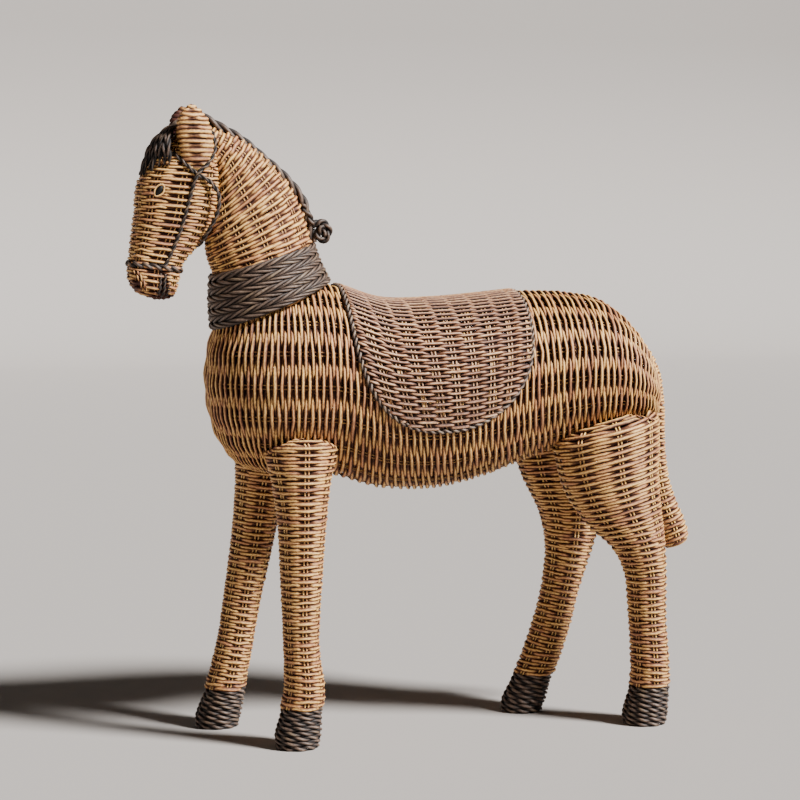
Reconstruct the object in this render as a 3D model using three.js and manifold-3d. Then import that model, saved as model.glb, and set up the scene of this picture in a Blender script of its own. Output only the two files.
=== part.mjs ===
// A standing horse cast in resin to look like woven rattan, about 39 cm tall.
// It is one casting: the woven trunk, neck, head, ears, legs and tail, with a rope collar and rope
// hooves, a saddle cloth with a corded edge, a corded bridle, and a roped mane and forelock.
// Millimetres, +Z up. The head points along -X and the near (left) side faces -Y.
// The origin lies on the table, at the middle of the space that the statue takes up.
import * as THREE from 'three';
import { mergeVertices } from 'three/addons/utils/BufferGeometryUtils.js';
import Module from 'manifold-3d';

const wasm = await Module();
wasm.setup();

// Driving dimensions
const statueHeight = 394; // table to ear tips; the whole form follows it
const weaveRelief = 1.3; // how far a strand stands above the hollow beside it
const collarTurns = 8; // turns of rope round the neck
const collarRelief = 1.3; // depth of the groove between two turns
const hoofTurns = 5; // turns of rope round each hoof
const hoofRelief = 1.1; // depth of the groove between two turns
const saddleLength = 116; // saddle cloth, along the back
const saddleCentre = 5; // its middle, along the statue
const saddleDrop = 108.5; // how far it hangs down each flank, in degrees round the trunk
const saddleThickness = 2.2; // above the woven trunk
const borderCord = 3.4; // cord sewn round the saddle cloth
const bridleCord = 2.8; // head straps
const noseCord = 4.4; // noseband
const maneCord = 5.2; // each of the two ropes of the mane
const forelockCord = 5; // each lock over the forehead
const earCup = 2.6; // depth of the hollow in an ear
const eyeLength = 7.4; // eyeball, along its slit
const mouthWidth = 1.6; // slit between the lips
const headRoundness = 3; // 2 is an oval; above it the cheeks are flatter

// The tables below are drawn for this height
const unit = statueHeight / 394;
const turn = 2 * Math.PI;
const radians = THREE.MathUtils.degToRad;

// Trunk rings from chest to rump: x, top, bottom, half-width, fan. A fan of 90 degrees folds a
// ring flat down the middle of the breast, so the rings there run like the ribs of a globe.
const trunkRings = [
  [-103, 281, 170, 31, 90],
  [-101, 283, 169, 35, 62],
  [-95, 285, 168, 42, 32],
  [-84, 286, 167, 48, 8],
  [-58, 283.5, 166, 51, 0],
  [-25, 273.2, 156.5, 53, 0],
  [10, 273, 155.5, 54, 0],
  [42, 275.5, 162, 53, 0],
  [70, 278, 172, 52, 0],
  [98, 277, 180, 51, 0],
  [122, 271.5, 184, 48, 0],
  [140, 256.5, 187, 40, 0],
  [152, 239, 191, 28, 0],
  [159, 221, 198, 13, 0],
  [160.5, 208, 208, 0, 0],
];

// Limb rings: x, y and z of the centre, half-depth along the statue, half-width, and tilt in
// degrees, which lifts the side towards the tail
const limbRings = {
  neck: [
    [-94, 0, 256, 0, 0, 24],
    [-95, 0, 264, 30, 28, 24],
    [-96, 0, 280, 35, 31, 22],
    [-99.5, 0, 300, 32, 27, 20],
    [-105.8, 0, 320.2, 32.8, 21.5, 31],
    [-113.2, 0, 338.8, 28, 14.8, 40],
    [-122, 0, 360, 16.5, 13.5, 52],
    [-135, 0, 372, 9, 8, 60],
    [-137, 0, 376, 0, 0, 60],
  ],
  head: [
    [-141, 0, 384, 0, 0, 10],
    [-142, 0, 381, 7, 9, 10],
    [-143, 0, 374, 12.5, 13, 5],
    [-146.5, 0, 362, 19, 15.8, 0],
    [-151.5, 0, 345, 24.8, 17.2, -4],
    [-154.5, 0, 327, 24, 16, -6],
    [-160, 0, 312, 20.5, 14, -7],
    [-165.5, 0, 300, 16.5, 12.6, -8],
    [-167.5, 0, 290, 15.5, 12.6, -8],
    [-167.5, 0, 282, 13.5, 11.5, -8],
    [-166.5, 0, 277.5, 8, 7, -8],
    [-166, 0, 276.5, 0, 0, -8],
  ],
  nearFore: [
    [-84, -22, 196, 0, 0, 0],
    [-83.5, -26, 188, 20, 17.5, 0],
    [-83, -28, 180, 21.5, 18.5, 0],
    [-82, -30.5, 163, 17.7, 17, 0],
    [-82, -32.5, 138, 14.5, 14.2, 0],
    [-82.5, -33, 112, 12.9, 12.6, 0],
    [-83.2, -34.5, 66, 10.6, 11, 0],
    [-81.5, -35, 38, 12, 12, -4],
    [-83.5, -35, 20, 12, 12, -6],
    [-84, -35, 14, 0, 0, -6],
  ],
  farFore: [
    [-90, 22, 196, 0, 0, 0],
    [-91, 25, 188, 17, 17, 0],
    [-93, 28, 178, 18, 18, -4],
    [-96, 31, 155, 15, 15.6, -8],
    [-99.5, 32.5, 125, 13.4, 13.6, -8],
    [-106, 34.5, 87, 11.6, 11.6, -8],
    [-111, 35, 57, 11.1, 11.2, -9],
    [-117, 35, 29, 12, 12, -14],
    [-119.5, 35, 20, 11.8, 11.8, -14],
    [-121, 35, 14, 0, 0, -14],
  ],
  nearHind: [
    [118, -18, 204, 0, 0, 14],
    [118, -24, 194, 32, 23, 14],
    [119, -26, 180, 34.5, 24.5, 14],
    [122, -27, 158, 31, 22, 14],
    [130, -27.5, 136, 24.5, 18, 13],
    [139.5, -28, 118, 17, 15, 10],
    [144.8, -28, 98, 13, 13, 4],
    [146.3, -28, 70, 11.6, 12, 2],
    [148.5, -28, 38, 12, 12, -5],
    [148, -28, 20, 12, 12, -8],
    [147, -28, 13, 0, 0, -8],
  ],
  farHind: [
    [100, 18, 204, 0, 0, 10],
    [102, 22, 194, 28, 21, 10],
    [105, 25, 180, 31, 23, 8],
    [109, 26, 160, 29.5, 21, 6],
    [113, 27.5, 132, 21, 17, -2],
    [112, 28, 108, 15.4, 14, -8],
    [107, 28, 84, 12.2, 12.4, -10],
    [101, 28, 60, 12, 11.8, -12],
    [93, 28, 36, 12.4, 12, -16],
    [86, 28, 20, 12, 12, -16],
    [83, 28, 14, 0, 0, -14],
  ],
  tail: [
    [138, 0, 245, 0, 0, 60],
    [144, 0, 242, 6, 7, 52],
    [151.8, 0, 225, 7, 8, 20],
    [154.6, 0, 204, 6.4, 8, 3],
    [155.8, 0, 180, 6.4, 8.5, 2],
    [159.3, 0, 160, 7.6, 9, 10],
    [165.8, 0, 141, 9, 9.5, 18],
    [172.5, 0, 124, 9.8, 10, 22],
    [176, 0, 113.5, 8.6, 9, 22],
    [176.6, 0, 111.5, 0, 0, 22],
  ],
};

// Ears: a leaf, from its base inside the head to its tip, and the leaf that hollows it
const earRings = [
  [-142, -9, 350, 0, 0, 0],
  [-142.5, -11.5, 356, 9.5, 5.6, 0],
  [-144, -14, 368, 11.8, 6.4, 0],
  [-145.6, -15.5, 380, 11, 5.8, 0],
  [-146.2, -16, 388, 7.6, 4, 0],
  [-145.8, -16, 394, 0, 0, 0],
];

// Hooves: x, y, z, half-depth and half-width where the rope starts, at its widest and at the sole
const hooves = {
  nearFore: [[-83, -35, 25, 12.8, 12.6], [-85.5, -35, 8, 14.6, 14], [-86, -35, 0, 13.6, 13.4]],
  farFore: [[-117.5, 35, 25, 13, 12.6], [-122.5, 35, 8, 14.8, 14], [-123.5, 35, 0, 14, 13.4]],
  nearHind: [[148.5, -28, 25, 13, 12.8], [145.5, -28, 8, 15, 14.4], [145, -28, 0, 14.2, 13.8]],
  farHind: [[88.5, 28, 26, 13, 12.8], [81.5, 28, 8, 14.8, 14.2], [79.5, 28, 0, 14, 13.6]],
};

// The collar's lower and upper edge, as limb rings
const collarRings = [
  [-94.5, 0, 271.5, 40.8, 38, 21.8],
  [-98, 0, 286, 37.6, 34, 19.5],
  [-99.8, 0, 300.5, 34.4, 30.5, 16.8],
];

// A smooth curve through three columns of a table
function threaded(rows) {
  return new THREE.CatmullRomCurve3(rows.map((row) => new THREE.Vector3(...row)), false, 'catmullrom');
}

// Spaces a form's rings evenly along its side, where u runs from 0 to 1 and t is the table's share
function evenly(form, samples = 240) {
  const lengths = [0];
  for (let i = 1; i <= samples; i += 1) {
    const step = form(i / samples, turn / 4).distanceTo(form((i - 1) / samples, turn / 4));
    lengths.push(lengths[i - 1] + step);
  }
  return (u, angle, lift) => {
    const target = THREE.MathUtils.clamp(u, 0, 1) * lengths[samples];
    let i = 1;
    while (i < samples && lengths[i] < target) i += 1;
    const t = (i - 1 + (target - lengths[i - 1]) / (lengths[i] - lengths[i - 1])) / samples;
    return form(THREE.MathUtils.clamp(t, 0, 1), angle, lift);
  };
}

// A limb as a function: the point at share u of its length, at an angle round it (0 faces the
// tail, a quarter turn the far side), raised by lift from its skin. Its sections are ovals, and
// flatter at the sides where roundness is above 2.
function limb(rings, roundness = 2) {
  const bulge = (value) => Math.sign(value) * Math.abs(value) ** (2 / roundness);
  const centres = threaded(rings.map(([x, y, z]) => [x * unit, y * unit, z * unit]));
  const ovals = threaded(rings.map(([, , , deep, wide, tilt]) => [deep * unit, wide * unit, tilt]));
  return evenly((t, angle, lift = 0) => {
    const oval = ovals.getPoint(t);
    const deep = Math.max(oval.x, 0);
    const wide = Math.max(oval.y, 0);
    const aft = new THREE.Vector3(Math.cos(radians(oval.z)), 0, Math.sin(radians(oval.z)));
    const far = new THREE.Vector3(0, 1, 0);
    const skin = aft.clone().multiplyScalar(deep * bulge(Math.cos(angle)))
      .addScaledVector(far, wide * bulge(Math.sin(angle)));
    const out = aft.multiplyScalar(wide * Math.cos(angle)).addScaledVector(far, deep * Math.sin(angle));
    if (out.length() > 1e-6) skin.addScaledVector(out.normalize(), lift);
    return centres.getPoint(t).add(skin);
  });
}

// The trunk as such a function: angle 0 runs along the back, a quarter turn along the far flank
function trunk(rings) {
  const heights = threaded(rings.map(([x, top, bottom]) => [x * unit, top * unit, bottom * unit]));
  const widths = threaded(rings.map(([, , , wide, fan]) => [wide * unit, fan, 0]));
  return evenly((t, angle, lift = 0) => {
    const height = heights.getPoint(t);
    const width = widths.getPoint(t);
    const tall = Math.max((height.y - height.z) / 2, 0);
    const wide = Math.max(width.x, 0);
    const fan = radians(THREE.MathUtils.clamp(width.y, 0, 90));
    const out = new THREE.Vector2(tall * Math.sin(angle), wide * Math.cos(angle));
    const raise = out.length() > 1e-6 ? lift : 0;
    out.normalize();
    const across = wide * Math.sin(angle) + raise * out.x;
    const up = (height.y + height.z) / 2 + tall * Math.cos(angle) + raise * out.y;
    return new THREE.Vector3(height.x - Math.abs(across) * Math.sin(fan), across * Math.cos(fan), up);
  });
}

// A closed body of rings, each of the same number of points. Where all the points of a ring
// fall together it closes; where loop is true the last ring is the first.
function rolled(rows, sides, place, loop = false) {
  const points = [];
  for (let row = 0; row <= rows; row += 1) {
    for (let side = 0; side < sides; side += 1) points.push(place(loop ? row % rows : row, side));
  }
  const index = [];
  for (let row = 0; row < rows; row += 1) {
    for (let side = 0; side < sides; side += 1) {
      const a = row * sides + side;
      const b = row * sides + ((side + 1) % sides);
      if ((row + side) % 2 === 0) index.push(a, b, a + sides, b, b + sides, a + sides);
      else index.push(a, b, b + sides, a, b + sides, a + sides);
    }
  }
  const body = new THREE.BufferGeometry().setFromPoints(points);
  body.setIndex(index);
  return solid(body);
}

// A closed geometry as a solid, with its points merged and its faces outwards
function solid(body) {
  const bare = body.clone();
  bare.deleteAttribute('normal');
  bare.deleteAttribute('uv');
  const merged = mergeVertices(bare, 1e-3);
  const corners = merged.index.array;
  const vertProperties = new Float32Array(merged.attributes.position.array);
  const facesOf = (flip) => {
    const faces = [];
    for (let i = 0; i < corners.length; i += 3) {
      const [a, b, c] = corners.slice(i, i + 3);
      if (a !== b && b !== c && c !== a) faces.push(a, flip ? c : b, flip ? b : c);
    }
    return new Uint32Array(faces);
  };
  const made = new wasm.Manifold(new wasm.Mesh({ numProp: 3, vertProperties, triVerts: facesOf(false) }));
  if (made.volume() > 0) return made;
  return new wasm.Manifold(new wasm.Mesh({ numProp: 3, vertProperties, triVerts: facesOf(true) }));
}

// Woven skin: at each crossing the strand stands out, and at the next it is sunk
function woven(form, rows, sides) {
  return rolled(rows, sides, (row, side) => {
    const sunk = (row + side) % 2 === 0 ? 0 : -weaveRelief;
    return form(row / rows, (side / sides) * turn, sunk);
  });
}

// A cord along a path, closed at its ends or running in a loop; its outline swells in turn as
// a two-strand twist does
function cord(points, diameter, rows, { loop = false, sides = 6 } = {}) {
  const path = new THREE.CatmullRomCurve3(points, loop, 'catmullrom', 0.5);
  const frames = path.computeFrenetFrames(rows, loop);
  return rolled(rows, sides, (row, side) => {
    const centre = path.getPointAt(row / rows);
    if (!loop && (row === 0 || row === rows)) return centre;
    const angle = (side / sides) * turn;
    const radius = (diameter / 2) * ((row + side) % 2 === 0 ? 1 : 0.84);
    return centre.addScaledVector(frames.normals[row], radius * Math.cos(angle))
      .addScaledVector(frames.binormals[row], radius * Math.sin(angle));
  }, loop);
}

// Turns of rope laid over a core that widens and shifts through three rings
function ropeTurns(rings, turns, relief, sides) {
  const core = limb(rings);
  const steps = turns * 2;
  return rolled(steps + 2, sides, (row, side) => {
    const u = THREE.MathUtils.clamp((row - 1) / steps, 0, 1);
    const angle = (side / sides) * turn;
    if (row === 0 || row === steps + 2) return core(u, 0).lerp(core(u, Math.PI), 0.5);
    return core(u, angle, row % 2 === 0 ? 0 : -relief);
  });
}

// Far-side twin of a near-side point
const mirrored = (point, side) => new THREE.Vector3(point.x, point.y * -side, point.z);

const trunkForm = trunk(trunkRings);
const headForm = limb(limbRings.head, headRoundness);

// Share of a form's length at which its centre passes a value along one axis
function shareAt(form, axis, value, rising) {
  let low = 0;
  let high = 1;
  for (let step = 0; step < 24; step += 1) {
    const middle = (low + high) / 2;
    const there = form(middle, 0).lerp(form(middle, Math.PI), 0.5)[axis];
    if ((there < value) === rising) low = middle;
    else high = middle;
  }
  return (low + high) / 2;
}

// Point on the near side of the head at x and z, raised by lift
function onHead(x, z, lift) {
  const u = shareAt(headForm, 'z', z * unit, false);
  const aft = headForm(u, 0);
  const fore = headForm(u, Math.PI);
  const along = (x * unit - (aft.x + fore.x) / 2) / ((aft.x - fore.x) / 2);
  const cosine = Math.sign(along) * Math.min(Math.abs(along), 1) ** (headRoundness / 2);
  return headForm(u, -Math.acos(cosine), lift);
}

// Point of the trunk at x, at an angle round it from the back
function onTrunk(x, angle, lift) {
  return trunkForm(shareAt(trunkForm, 'x', x * unit, true), angle, lift);
}

// Half-length of the saddle cloth at a share of its drop: straight sides, rounded at the bottom
const saddleReach = (share) => (saddleLength / 2) * Math.max(1 - Math.abs(share) ** 5, 0) ** 0.45;

function saddleCloth() {
  const rows = 16;
  const across = 6;
  const skins = [saddleThickness, -saddleThickness - weaveRelief];
  return rolled(rows, across * 2, (row, side) => {
    const share = Math.sin(((row / rows) * 2 - 1) * (Math.PI / 2));
    const column = side < across ? side : across * 2 - 1 - side;
    const reach = saddleReach(share);
    const x = saddleCentre + reach * ((column / (across - 1)) * 2 - 1);
    const ends = row === 0 || row === rows;
    const rib = row % 2 === 0 ? 0 : 0.8;
    const lift = side < across ? skins[0] - rib : skins[1];
    return onTrunk(x, radians(share * saddleDrop), ends ? 0 : lift);
  });
}

function saddleBorder() {
  const points = [];
  const count = 28;
  for (let i = 0; i < count; i += 1) {
    const around = (i / count) * turn;
    const share = Math.sin(around);
    const x = saddleCentre + Math.sign(Math.cos(around)) * saddleReach(share);
    points.push(onTrunk(x, radians(share * saddleDrop), saddleThickness * 0.6));
  }
  return cord(points, borderCord, 36, { loop: true, sides: 4 });
}

function mane() {
  const crest = [
    [-136, 384], [-127, 380.5], [-113.8, 371.3], [-101.2, 359.9], [-88, 348], [-76.7, 334.8],
    [-71.8, 322], [-68.2, 312.5], [-62, 309.5], [-58, 315], [-60.5, 321], [-65.5, 321.5],
  ];
  return [-1, 1].map((side) => cord(
    crest.map(([x, z]) => new THREE.Vector3(x, side * maneCord * 0.44, z).multiplyScalar(unit)),
    maneCord,
    20,
    { sides: 5 },
  ));
}

function bridle(side) {
  const strap = (route, rows) => cord(
    route.map(([x, y, z]) => new THREE.Vector3(x, y * side, z).multiplyScalar(unit)),
    bridleCord,
    rows,
    { sides: 4 },
  );
  const cheek = [[-143, 351.5], [-148.5, 335], [-153, 318], [-160, 301], [-163, 296]];
  return [
    strap([[-143, 17, 351.5], [-136.5, 17, 357], [-132, 16.5, 365], [-131.5, 13.5, 374], [-134, 6, 381.5]], 6),
    strap([[-143, 17, 351.5], [-151.5, 16.5, 359.5], [-159, 12, 366], [-163.5, 4, 367]], 5),
    strap([[-143, 17, 351.5], [-135, 18, 348.5], [-130, 18.5, 340], [-131.5, 17.5, 327], [-138.5, 11, 313], [-140, 2, 309]], 8),
    strap(cheek.map(([x, z]) => [x, -onHead(x, z, 0.4).y / unit, z]), 8),
  ];
}

function noseband() {
  const height = 295.5;
  const count = 14;
  const points = [];
  for (let i = 0; i < count; i += 1) {
    const u = shareAt(headForm, 'z', height * unit, false);
    points.push(headForm(u, (i / count) * turn, -0.4));
  }
  return cord(points, noseCord, 14, { loop: true, sides: 5 });
}

function forelock() {
  const routes = [
    [[-146, 1, 384], [-157.5, 0.5, 374.5], [-168.3, -0.5, 364], [-174.6, -1.5, 353], [-176, -2, 344]],
    [[-147, -5, 382], [-157, -5.5, 372.5], [-166.5, -6, 363], [-172, -7, 353], [-173.5, -8.5, 346]],
    [[-147, 5, 382], [-157, 5.5, 372.5], [-166.5, 5.5, 363], [-172.5, 5, 353], [-174.5, 4.5, 347]],
  ];
  return routes.map((route) => cord(
    route.map((point) => new THREE.Vector3(...point).multiplyScalar(unit)),
    forelockCord,
    8,
    { sides: 5 },
  ));
}

// An ear is a woven leaf, hollowed towards the front by a smaller leaf
function ear(side) {
  const leaf = woven(limb(earRings), 8, 8);
  const hollow = rolled(8, 8, (row, corner) => {
    const u = 0.38 + 0.57 * (row / 8);
    const form = limb(earRings);
    const rear = form(u, 0);
    const front = form(u, Math.PI);
    const middle = rear.clone().lerp(front, 0.62);
    const swell = Math.sin((row / 8) * Math.PI);
    const angle = (corner / 8) * turn;
    const reach = (rear.x - front.x) * 0.3 * swell;
    return new THREE.Vector3(
      middle.x + reach * Math.cos(angle),
      middle.y - (form(u, Math.PI / 2).y - middle.y) - earCup * 0.2 + earCup * 1.3 * swell * Math.sin(angle),
      middle.z,
    );
  });
  const whole = leaf.subtract(hollow);
  return side < 0 ? whole : whole.mirror([0, 1, 0]);
}

// Eyeball and its rim of one strand
function eye(side) {
  const [x, z] = [-165, 342];
  const centre = mirrored(onHead(x, z, -0.6), -side);
  const ball = new THREE.SphereGeometry(1, 8, 5);
  ball.scale(eyeLength * 0.36, 2.2, eyeLength * 0.42);
  ball.rotateY(radians(-24));
  ball.translate(centre.x, centre.y, centre.z);
  const rim = [];
  const count = 8;
  for (let i = 0; i < count; i += 1) {
    const around = (i / count) * turn;
    const wide = eyeLength * 0.44 * Math.cos(around);
    const high = eyeLength * 0.52 * Math.sin(around);
    rim.push(mirrored(onHead(x + wide * 0.95 + high * 0.3, z + high - wide * 0.2, 0.3), -side));
  }
  return [solid(ball), cord(rim, 1.6, 10, { loop: true, sides: 4 })];
}

// What is cut into the muzzle: the slit between the lips and the nostrils
function muzzleCuts() {
  const slit = new THREE.BoxGeometry(mouthWidth, 40, 15);
  slit.rotateY(radians(-4));
  slit.translate(-162.5 * unit, 0, 281 * unit);
  const nostril = (side) => {
    const at = mirrored(onHead(-177, 288, 0.4), -side);
    const hole = new THREE.SphereGeometry(2.2, 8, 6);
    hole.scale(0.8, 0.8, 1.2);
    hole.translate(at.x, at.y, at.z);
    return solid(hole);
  };
  return [solid(slit), nostril(-1), nostril(1)];
}

const weave = {
  neck: [15, 14], head: [20, 12], nearFore: [22, 8], farFore: [22, 8], nearHind: [22, 8], farHind: [22, 8], tail: [18, 8],
};
const cast = [woven(trunkForm, 40, 18)];
for (const [name, [rows, sides]] of Object.entries(weave)) {
  cast.push(woven(name === 'head' ? headForm : limb(limbRings[name]), rows, sides));
}
for (const rings of Object.values(hooves)) cast.push(ropeTurns(rings, hoofTurns, hoofRelief, 10));
cast.push(ropeTurns(collarRings, collarTurns, collarRelief, 14));
cast.push(saddleCloth(), saddleBorder(), noseband(), ...mane(), ...forelock());
for (const side of [-1, 1]) cast.push(ear(side), ...bridle(side), ...eye(side));
const carved = muzzleCuts().reduce((whole, cut) => whole.subtract(cut), wasm.Manifold.union(cast));

// The outer skin alone: what the joined pieces enclose between them is solid resin
const [outer] = carved.decompose().sort((a, b) => b.volume() - a.volume());

const mesh = outer.getMesh();
const skin = new THREE.BufferGeometry();
skin.setAttribute('position', new THREE.BufferAttribute(new Float32Array(mesh.vertProperties), 3));
skin.setIndex(new THREE.BufferAttribute(new Uint32Array(mesh.triVerts), 1));

const strawResin = new THREE.MeshStandardMaterial({ color: 0xb98e5e, roughness: 0.6, metalness: 0 });
const horse = new THREE.Mesh(skin, strawResin);
horse.name = 'horse_statue';
const statue = new THREE.Group();
statue.add(horse);

export default statue;
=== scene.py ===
import math

import bpy
import bmesh
import numpy as np
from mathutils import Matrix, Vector


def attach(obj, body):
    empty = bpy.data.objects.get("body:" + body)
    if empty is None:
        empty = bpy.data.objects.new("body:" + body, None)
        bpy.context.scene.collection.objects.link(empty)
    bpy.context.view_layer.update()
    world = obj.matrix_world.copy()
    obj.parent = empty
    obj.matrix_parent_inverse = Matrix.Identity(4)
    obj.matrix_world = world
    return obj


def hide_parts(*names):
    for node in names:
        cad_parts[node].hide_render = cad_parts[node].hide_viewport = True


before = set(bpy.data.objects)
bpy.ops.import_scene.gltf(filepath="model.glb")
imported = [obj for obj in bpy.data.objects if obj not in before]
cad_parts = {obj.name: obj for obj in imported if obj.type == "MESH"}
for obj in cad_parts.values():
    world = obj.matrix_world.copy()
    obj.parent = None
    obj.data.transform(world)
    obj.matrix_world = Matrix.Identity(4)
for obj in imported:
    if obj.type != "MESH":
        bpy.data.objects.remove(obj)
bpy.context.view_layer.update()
bpy.ops.object.select_all(action="DESELECT")

# The woven trunk: one casting taken from real wickerwork, where round strands run over and under
# pairs of stiff stakes. Here the strands and stakes are laid one by one over the trunk's form, as
# the maker's pattern was, with the dark ground of the casting behind them.
MM = 0.001
STRAND_PITCH = 2.1
STRAND_WIDTHS = (0.8, 1.12)
STRAND_STRAY = 0.27
LIFT_STRAY = 0.1
STRAND_SIDES = np.radians([-105, -52, 0, 52, 105])
# How light each side of a strand is painted, crown to flanks, and how light it stays where it is tucked
# under: glaze wiped off the crowns, with a painted highlight on the crown and painted shade on the flanks
# and under the strands that cross it
CROWN_GLAZE_AND_HIGHLIGHT = np.array([0.1, 0.5, 1.0, 0.5, 0.1])
TUCKED_GLAZE_AND_SHADE = 0.36
STAKE_SIDES = np.radians([-120, -40, 40, 120])
STAKE_GAP = 2.3
STAKE_LIFT = -1.0
STAKE_STEP = 3.0
GROUND_LIFT = -3.3
# A strand's half width and rise, where it lies over and under its stakes, how far it arches between
# them and where it dips; then half a stake's width and how bright a stake is
OPEN_WEAVE = dict(half=1.3, rise=1.3, over=-0.7, under=-2.35, arch=0.95, dip=(-0.9, -0.1), stake=0.5,
                  bright=0.7)
CLOSE_WEAVE = dict(half=1.32, rise=1.25, over=-0.45, under=-2.25, arch=0.3, dip=(-0.98, -0.42), stake=0.58,
                   bright=1.0)
STEPS_PER_STAKE = 5
TRUNK_COLUMN = -1.626
TRUNK_STAKES = [(0.0, 18), (0.55, 16), (0.9, 12), (0.95, 8), (0.975, 4)]
HANG = 0.34
HANG_FROM = -75.0
HANG_TO = 152.0
FORM_SAMPLES = 600
WELD = 0.02
GRAIN_ALONG = 0.3
GRAIN_ACROSS = 1.6
BLOTCH_MM = 16.667
chance = np.random.default_rng(7)

TRUNK_RINGS = [
    [-103, 281, 170, 31, 90],
    [-101, 283, 169, 35, 62],
    [-95, 285, 168, 42, 32],
    [-84, 286, 167, 48, 8],
    [-58, 283.5, 166, 51, 0],
    [-25, 273.2, 156.5, 53, 0],
    [10, 273, 155.5, 54, 0],
    [42, 275.5, 162, 53, 0],
    [70, 278, 172, 52, 0],
    [98, 277, 180, 51, 0],
    [122, 271.5, 184, 48, 0],
    [140, 256.5, 187, 40, 0],
    [152, 239, 191, 28, 0],
    [159, 221, 198, 13, 0],
    [160.5, 208, 208, 0, 0],
]


def along_table(table, share):
    """The smooth curve through a table's rows, at shares of its length from 0 to 1."""
    rows = np.array(table, float)
    last = len(rows) - 1
    rows = np.vstack([2 * rows[0] - rows[1], rows, 2 * rows[-1] - rows[-2]])
    at = np.clip(share, 0, 1) * last
    row = np.minimum(at.astype(int), last - 1)
    w = (at - row)[..., None]
    p0, p1, p2, p3 = (rows[row + k] for k in range(4))
    return 0.5 * (
        2 * p1 + (p2 - p0) * w + (2 * p0 - 5 * p1 + 4 * p2 - p3) * w**2 + (3 * p1 - p0 - 3 * p2 + p3) * w**3
    )


TRUNK_SHARES = np.linspace(0, 1, FORM_SAMPLES)
TRUNK_PLACES = along_table(TRUNK_RINGS, TRUNK_SHARES)[:, 0]


def trunk_ring(share, angle):
    """A point of the trunk before its rings are spaced evenly; angle 0 is the back. Under the flank
    a ring slides towards the tail, so that its strand hangs plumb."""
    x, _, _, wide, _ = np.moveaxis(along_table(TRUNK_RINGS, share), -1, 0)
    slide = HANG * wide * (1 - np.abs(np.sin(angle))) * (np.cos(angle) < 0)
    slide = slide * np.clip((x - HANG_FROM) / 50, 0, 1) * np.clip((HANG_TO - x) / 45, 0, 1)
    share = np.where(slide > 0, np.interp(x + slide, TRUNK_PLACES, TRUNK_SHARES), share)
    x, top, bottom, wide, fan = np.moveaxis(along_table(TRUNK_RINGS, share), -1, 0)
    tall = np.maximum((top - bottom) / 2, 0)
    across = np.maximum(wide, 0) * np.sin(angle)
    fan = np.radians(np.clip(fan, 0, 90))
    up = (top + bottom) / 2 + tall * np.cos(angle)
    return np.stack([x - np.abs(across) * np.sin(fan), across * np.cos(fan), up], -1)


class Form:
    """A woven form: its skin is worked out from u, the share of its length, and an angle round it."""

    def __init__(self, ring):
        shares = np.linspace(0, 1, FORM_SAMPLES)
        side = ring(shares, np.full(FORM_SAMPLES, math.pi / 2))
        steps = np.linalg.norm(np.diff(side, axis=0), axis=1)
        lengths = np.concatenate([[0], np.cumsum(steps)])
        self.ring = ring
        self.shares = shares
        self.length = lengths[-1]
        self.marks = lengths / lengths[-1]

    def skin(self, u, angle):
        u, angle = np.broadcast_arrays(np.clip(u, 0, 1), angle)
        return self.ring(np.interp(u, self.marks, self.shares), angle)

    def along(self, u, angle):
        """Unit vector along the form, and the skin's length for the whole of u."""
        u = np.clip(u, 0.002, 0.998)
        step = (self.skin(u + 0.002, angle) - self.skin(u - 0.002, angle)) / 0.004
        size = np.linalg.norm(step, axis=-1, keepdims=True)
        return step / np.maximum(size, 1e-9), size[..., 0]

    def around(self, u, angle):
        """Unit vector round the form, and the skin's length for one radian."""
        step = (self.skin(u, angle + 0.02) - self.skin(u, angle - 0.02)) / 0.04
        size = np.linalg.norm(step, axis=-1, keepdims=True)
        return step / np.maximum(size, 1e-9), size[..., 0]

    def outward(self, u, angle):
        along, _ = self.along(u, angle)
        around, _ = self.around(np.clip(u, 0.004, 0.996), angle)
        normal = np.cross(around, along)
        normal /= np.maximum(np.linalg.norm(normal, axis=-1, keepdims=True), 1e-9)
        middle = np.full(8, 0.5)
        rim = np.linspace(0, 2 * math.pi, 8, endpoint=False)
        lean = self.skin(middle, rim) - self.skin(middle, rim + math.pi)
        test = np.cross(self.around(middle, rim)[0], self.along(middle, rim)[0])
        return normal * np.sign((lean * test).sum())


def section(base, across, normal, half, lift, rise, sides):
    """A strand's points, at the angles in sides, round each place along its base."""
    return (
        base[:, None, :]
        + across[:, None, :] * (half * np.sin(sides))[..., None]
        + normal[:, None, :] * (lift + rise * np.cos(sides))[..., None]
    )


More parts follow.
